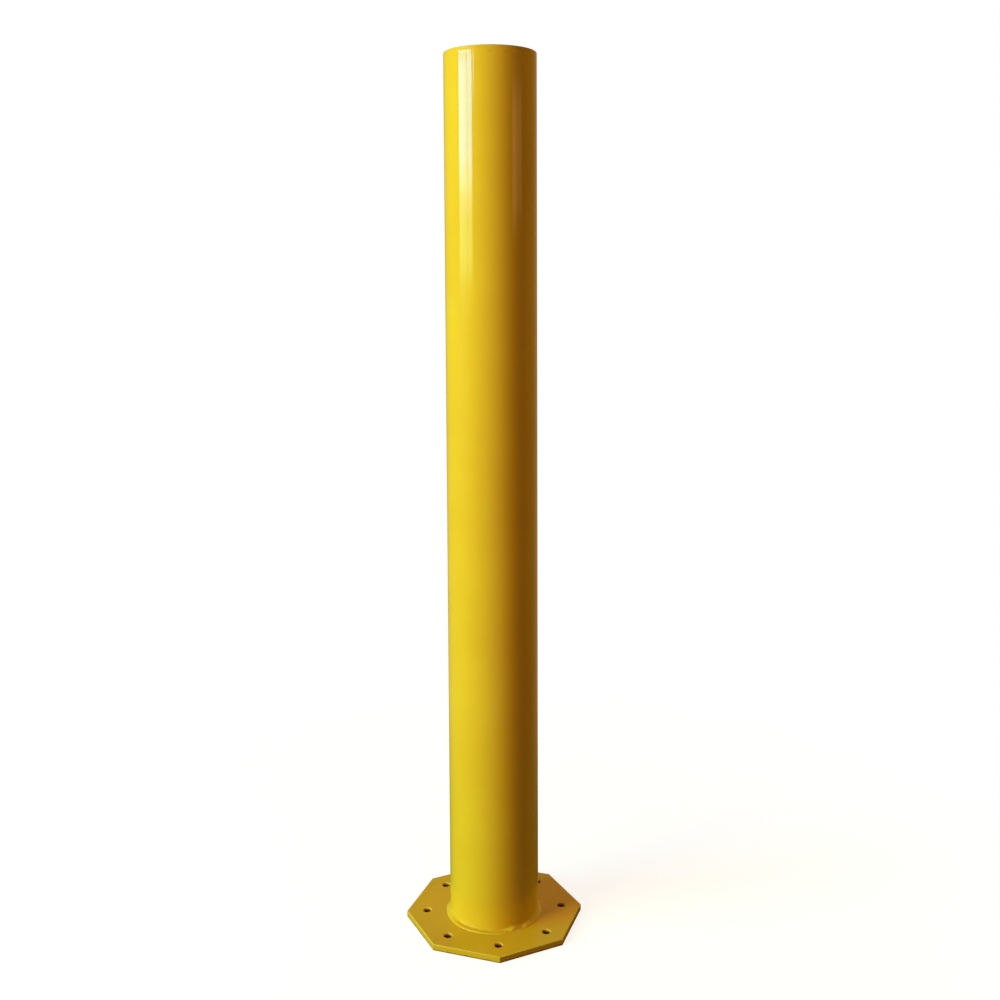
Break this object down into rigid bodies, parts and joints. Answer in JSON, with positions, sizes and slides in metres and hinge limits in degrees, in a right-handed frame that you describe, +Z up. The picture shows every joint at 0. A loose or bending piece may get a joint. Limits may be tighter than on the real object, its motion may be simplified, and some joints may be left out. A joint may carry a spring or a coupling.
{
  "type": "bollard",
  "caption": "Fixed surface-mounted street bollard: a round capped steel post, fillet-welded to an octagonal base plate with an anchor hole at each corner, gloss yellow powder coat.",
  "frame": {"origin": "centre of the base plate's underside, on the ground", "axes": "+Z up along the post, -Y the front, +X to the right seen from the front; a plate corner lies on each of +X, +Y, -X and -Y"},
  "size_m": [0.2274, 0.2274, 1.1],
  "materials": {
    "post_paint": "gloss yellow powder coat over steel tube",
    "plate_paint": "semi-gloss yellow powder coat over flame-cut plate",
    "weld_paint": "gloss yellow powder coat over weld bead"
  },
  "bodies": {
    "root": {"base_plate": "plate_paint", "post_tube": "post_paint", "top_cap": "post_paint", "cap_weld": "weld_paint", "base_weld": "weld_paint"}
  },
  "joints": []
}
